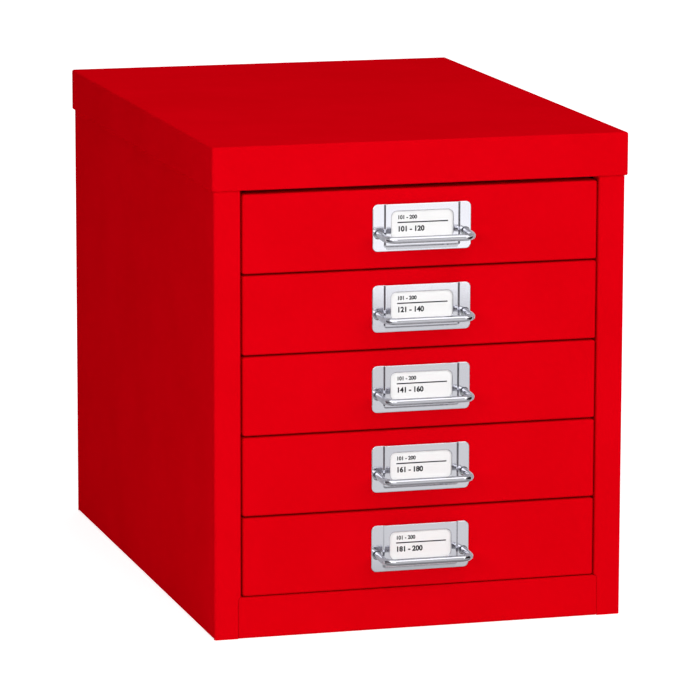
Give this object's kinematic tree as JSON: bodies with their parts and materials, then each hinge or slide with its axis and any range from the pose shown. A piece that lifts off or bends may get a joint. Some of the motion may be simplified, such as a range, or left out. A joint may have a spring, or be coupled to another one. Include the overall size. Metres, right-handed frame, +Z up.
{
  "type": "desktop drawer cabinet",
  "caption": "Small red sheet-steel desktop cabinet with shallow full-width sliding drawers, each with a chromed card-holder plate and a fixed chromed pull.",
  "frame": {"origin": "middle of the whole object's box in X and Y, on the surface that it stands on", "axes": "+Z up, +Y towards the back, -Y the drawer fronts, +X to the right as seen from the front"},
  "size_m": [0.282, 0.43, 0.325],
  "materials": {
    "red_paint": "satin powder coat",
    "chrome_plate": "polished chrome plate",
    "zinc_plate": "bright zinc plate",
    "card": "matt white card"
  },
  "bodies": {
    "carcass": {"top_cover": "red_paint", "left_side_panel": "red_paint", "right_side_panel": "red_paint", "back_panel": "red_paint", "base_panel": "red_paint", "plinth_rail": "red_paint", "header_rail": "red_paint", "left_front_upright": "zinc_plate", "right_front_upright": "zinc_plate", "left_rear_upright": "zinc_plate", "right_rear_upright": "zinc_plate", "drawer_1_left_runner": "zinc_plate", "drawer_1_right_runner": "zinc_plate", "drawer_2_left_runner": "zinc_plate", "drawer_2_right_runner": "zinc_plate", "drawer_3_left_runner": "zinc_plate", "drawer_3_right_runner": "zinc_plate", "drawer_4_left_runner": "zinc_plate", "drawer_4_right_runner": "zinc_plate", "drawer_5_left_runner": "zinc_plate", "drawer_5_right_runner": "zinc_plate"},
    "drawer_1": {"drawer_1_tray": "red_paint", "drawer_1_front": "red_paint", "drawer_1_label_plate": "chrome_plate", "drawer_1_pull": "chrome_plate", "drawer_1_card": "card", "drawer_1_push_nuts": "zinc_plate"},
    "drawer_2": {"drawer_2_tray": "red_paint", "drawer_2_front": "red_paint", "drawer_2_label_plate": "chrome_plate", "drawer_2_pull": "chrome_plate", "drawer_2_card": "card", "drawer_2_push_nuts": "zinc_plate"},
    "drawer_3": {"drawer_3_tray": "red_paint", "drawer_3_front": "red_paint", "drawer_3_label_plate": "chrome_plate", "drawer_3_pull": "chrome_plate", "drawer_3_card": "card", "drawer_3_push_nuts": "zinc_plate"},
    "drawer_4": {"drawer_4_tray": "red_paint", "drawer_4_front": "red_paint", "drawer_4_label_plate": "chrome_plate", "drawer_4_pull": "chrome_plate", "drawer_4_card": "card", "drawer_4_push_nuts": "zinc_plate"},
    "drawer_5": {"drawer_5_tray": "red_paint", "drawer_5_front": "red_paint", "drawer_5_label_plate": "chrome_plate", "drawer_5_pull": "chrome_plate", "drawer_5_card": "card", "drawer_5_push_nuts": "zinc_plate"}
  },
  "joints": [
    {"name": "drawer_1_slide", "type": "slide", "parent": "carcass", "child": "drawer_1", "axis": [0, -1, 0], "range_m": [0, 0.283]},
    {"name": "drawer_2_slide", "type": "slide", "parent": "carcass", "child": "drawer_2", "axis": [0, -1, 0], "range_m": [0, 0.283]},
    {"name": "drawer_3_slide", "type": "slide", "parent": "carcass", "child": "drawer_3", "axis": [0, -1, 0], "range_m": [0, 0.283]},
    {"name": "drawer_4_slide", "type": "slide", "parent": "carcass", "child": "drawer_4", "axis": [0, -1, 0], "range_m": [0, 0.283]},
    {"name": "drawer_5_slide", "type": "slide", "parent": "carcass", "child": "drawer_5", "axis": [0, -1, 0], "range_m": [0, 0.283]}
  ]
}
